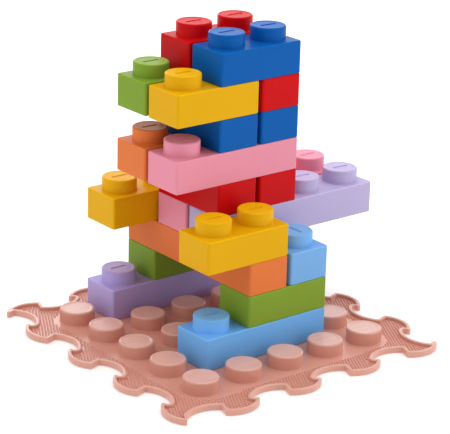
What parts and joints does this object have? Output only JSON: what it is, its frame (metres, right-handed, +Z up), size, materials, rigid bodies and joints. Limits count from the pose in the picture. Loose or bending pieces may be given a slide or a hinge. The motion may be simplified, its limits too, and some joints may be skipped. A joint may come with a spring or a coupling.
{
  "type": "building block tower",
  "caption": "Tower of large stud-and-socket play blocks in mixed colours, each one lifting off the studs below, on an interlocking studded floor tile.",
  "frame": {"origin": "centre of the tile's underside, on the floor", "axes": "+Z up along the studs, +X and +Y along the rows of studs"},
  "size_m": [0.2801, 0.2696, 0.2545],
  "materials": {
    "terracotta": "satin moulded soft plastic",
    "sky": "satin moulded soft plastic",
    "purple": "satin moulded soft plastic",
    "green": "satin moulded soft plastic",
    "orange": "satin moulded soft plastic",
    "yellow": "satin moulded soft plastic",
    "lavender": "satin moulded soft plastic",
    "pink": "satin moulded soft plastic",
    "red": "satin moulded soft plastic",
    "blue": "satin moulded soft plastic"
  },
  "bodies": {
    "base_tile": {"base_tile": "terracotta", "front_left_rim": "terracotta", "front_right_rim": "terracotta", "rear_right_rim": "terracotta", "rear_left_rim": "terracotta", "tile_studs": "terracotta"},
    "sky_front_foot": {"sky_front_foot": "sky", "sky_front_foot_studs": "sky"},
    "purple_rear_foot": {"purple_rear_foot": "purple", "purple_rear_foot_studs": "purple"},
    "green_front_riser": {"green_front_riser": "green", "green_front_riser_studs": "green"},
    "green_rear_riser": {"green_rear_riser": "green", "green_rear_riser_studs": "green"},
    "orange_bridge": {"orange_bridge": "orange", "orange_bridge_studs": "orange"},
    "sky_side_block": {"sky_side_block": "sky", "sky_side_block_studs": "sky"},
    "yellow_front_block": {"yellow_front_block": "yellow", "yellow_front_block_studs": "yellow"},
    "yellow_rear_block": {"yellow_rear_block": "yellow", "yellow_rear_block_studs": "yellow"},
    "lavender_arm": {"lavender_arm": "lavender", "lavender_arm_studs": "lavender"},
    "pink_arm": {"pink_arm": "pink", "pink_arm_studs": "pink"},
    "red_left_tie": {"red_left_tie": "red", "red_left_tie_studs": "red"},
    "red_right_tie": {"red_right_tie": "red", "red_right_tie_studs": "red"},
    "pink_long_block": {"pink_long_block": "pink", "pink_long_block_studs": "pink"},
    "orange_long_block": {"orange_long_block": "orange", "orange_long_block_studs": "orange"},
    "blue_left_tie": {"blue_left_tie": "blue", "blue_left_tie_studs": "blue"},
    "blue_right_tie": {"blue_right_tie": "blue", "blue_right_tie_studs": "blue"},
    "yellow_upper_block": {"yellow_upper_block": "yellow", "yellow_upper_block_studs": "yellow"},
    "green_upper_block": {"green_upper_block": "green", "green_upper_block_studs": "green"},
    "red_upper_tie": {"red_upper_tie": "red", "red_upper_tie_studs": "red"},
    "blue_top_block": {"blue_top_block": "blue", "blue_top_block_studs": "blue"},
    "red_top_block": {"red_top_block": "red", "red_top_block_studs": "red"}
  },
  "joints": [
    {"name": "sky_front_foot_lift", "type": "slide", "parent": "base_tile", "child": "sky_front_foot", "axis": [0, 0, 1], "range_m": [0, 0.016]},
    {"name": "purple_rear_foot_lift", "type": "slide", "parent": "sky_front_foot", "child": "purple_rear_foot", "axis": [0, 0, 1], "range_m": [0, 0.016]},
    {"name": "green_rear_riser_lift", "type": "slide", "parent": "purple_rear_foot", "child": "green_rear_riser", "axis": [0, 0, 1], "range_m": [0, 0.016]},
    {"name": "green_front_riser_lift", "type": "slide", "parent": "green_rear_riser", "child": "green_front_riser", "axis": [0, 0, 1], "range_m": [0, 0.016]},
    {"name": "sky_side_block_lift", "type": "slide", "parent": "green_front_riser", "child": "sky_side_block", "axis": [0, 0, 1], "range_m": [0, 0.016]},
    {"name": "orange_bridge_lift", "type": "slide", "parent": "sky_side_block", "child": "orange_bridge", "axis": [0, 0, 1], "range_m": [0, 0.016]},
    {"name": "yellow_front_block_lift", "type": "slide", "parent": "orange_bridge", "child": "yellow_front_block", "axis": [0, 0, 1], "range_m": [0, 0.016]},
    {"name": "yellow_rear_block_lift", "type": "slide", "parent": "orange_bridge", "child": "yellow_rear_block", "axis": [0, 0, 1], "range_m": [0, 0.016]},
    {"name": "pink_arm_lift", "type": "slide", "parent": "orange_bridge", "child": "pink_arm", "axis": [0, 0, 1], "range_m": [0, 0.016]},
    {"name": "lavender_arm_lift", "type": "slide", "parent": "pink_arm", "child": "lavender_arm", "axis": [0, 0, 1], "range_m": [0, 0.016]},
    {"name": "red_left_tie_lift", "type": "slide", "parent": "lavender_arm", "child": "red_left_tie", "axis": [0, 0, 1], "range_m": [0, 0.016]},
    {"name": "red_right_tie_lift", "type": "slide", "parent": "red_left_tie", "child": "red_right_tie", "axis": [0, 0, 1], "range_m": [0, 0.016]},
    {"name": "orange_long_block_lift", "type": "slide", "parent": "red_right_tie", "child": "orange_long_block", "axis": [0, 0, 1], "range_m": [0, 0.016]},
    {"name": "pink_long_block_lift", "type": "slide", "parent": "orange_long_block", "child": "pink_long_block", "axis": [0, 0, 1], "range_m": [0, 0.016]},
    {"name": "blue_left_tie_lift", "type": "slide", "parent": "pink_long_block", "child": "blue_left_tie", "axis": [0, 0, 1], "range_m": [0, 0.016]},
    {"name": "blue_right_tie_lift", "type": "slide", "parent": "blue_left_tie", "child": "blue_right_tie", "axis": [0, 0, 1], "range_m": [0, 0.016]},
    {"name": "green_upper_block_lift", "type": "slide", "parent": "blue_right_tie", "child": "green_upper_block", "axis": [0, 0, 1], "range_m": [0, 0.016]},
    {"name": "yellow_upper_block_lift", "type": "slide", "parent": "green_upper_block", "child": "yellow_upper_block", "axis": [0, 0, 1], "range_m": [0, 0.016]},
    {"name": "red_upper_tie_lift", "type": "slide", "parent": "yellow_upper_block", "child": "red_upper_tie", "axis": [0, 0, 1], "range_m": [0, 0.016]},
    {"name": "blue_top_block_lift", "type": "slide", "parent": "red_upper_tie", "child": "blue_top_block", "axis": [0, 0, 1], "range_m": [0, 0.016]},
    {"name": "red_top_block_lift", "type": "slide", "parent": "red_upper_tie", "child": "red_top_block", "axis": [0, 0, 1], "range_m": [0, 0.016]}
  ]
}
